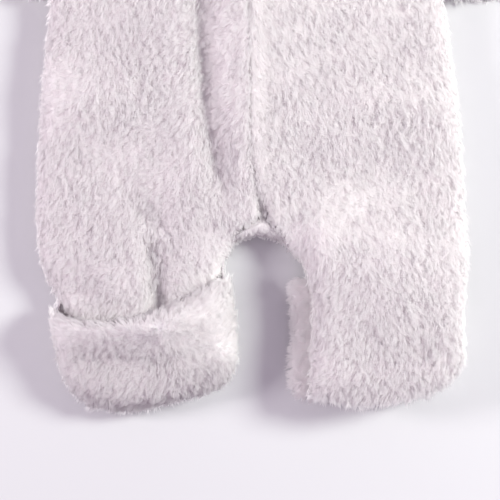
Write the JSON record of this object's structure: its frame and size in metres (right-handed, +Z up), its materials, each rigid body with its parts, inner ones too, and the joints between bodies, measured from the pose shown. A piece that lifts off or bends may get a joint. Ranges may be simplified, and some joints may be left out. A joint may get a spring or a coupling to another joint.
{
  "type": "hooded romper",
  "caption": "Baby's long-pile plush romper with hood, zip front and turn-over foot covers, lying flat on its back with sleeves down.",
  "frame": {"origin": "middle of the base, on the surface that the romper lies on", "axes": "+Y from the feet to the hood, +X to the wearer's left, +Z up from the surface, out of the front"},
  "size_m": [0.461, 0.7266, 0.0397],
  "materials": {
    "plush": "long soft pile, pinkish off-white",
    "cover_plush": "the same pile, pressed a little flatter",
    "zip_tape": "woven tape",
    "zip_metal": "satin nickel"
  },
  "bodies": {
    "garment": {"front_right": "plush", "front_left": "plush", "back_right": "plush", "back_left": "plush", "crotch_gusset": "plush", "sleeve_right": "plush", "sleeve_left": "plush", "hood_right": "plush", "hood_left": "plush", "foot_cover_right_upper": "cover_plush", "foot_cover_right_under": "cover_plush", "foot_cover_left_upper": "cover_plush", "foot_cover_left_under": "cover_plush", "zip_tape": "zip_tape", "zip_slider": "zip_metal"},
    "pull": {"zip_pull": "zip_metal"}
  },
  "joints": [
    {"name": "pull_swing", "type": "hinge", "parent": "garment", "child": "pull", "pos_m": [-0.0005, 0.1073, 0.0205], "axis": [-1, 0, 0], "range_deg": [0, 130]}
  ]
}
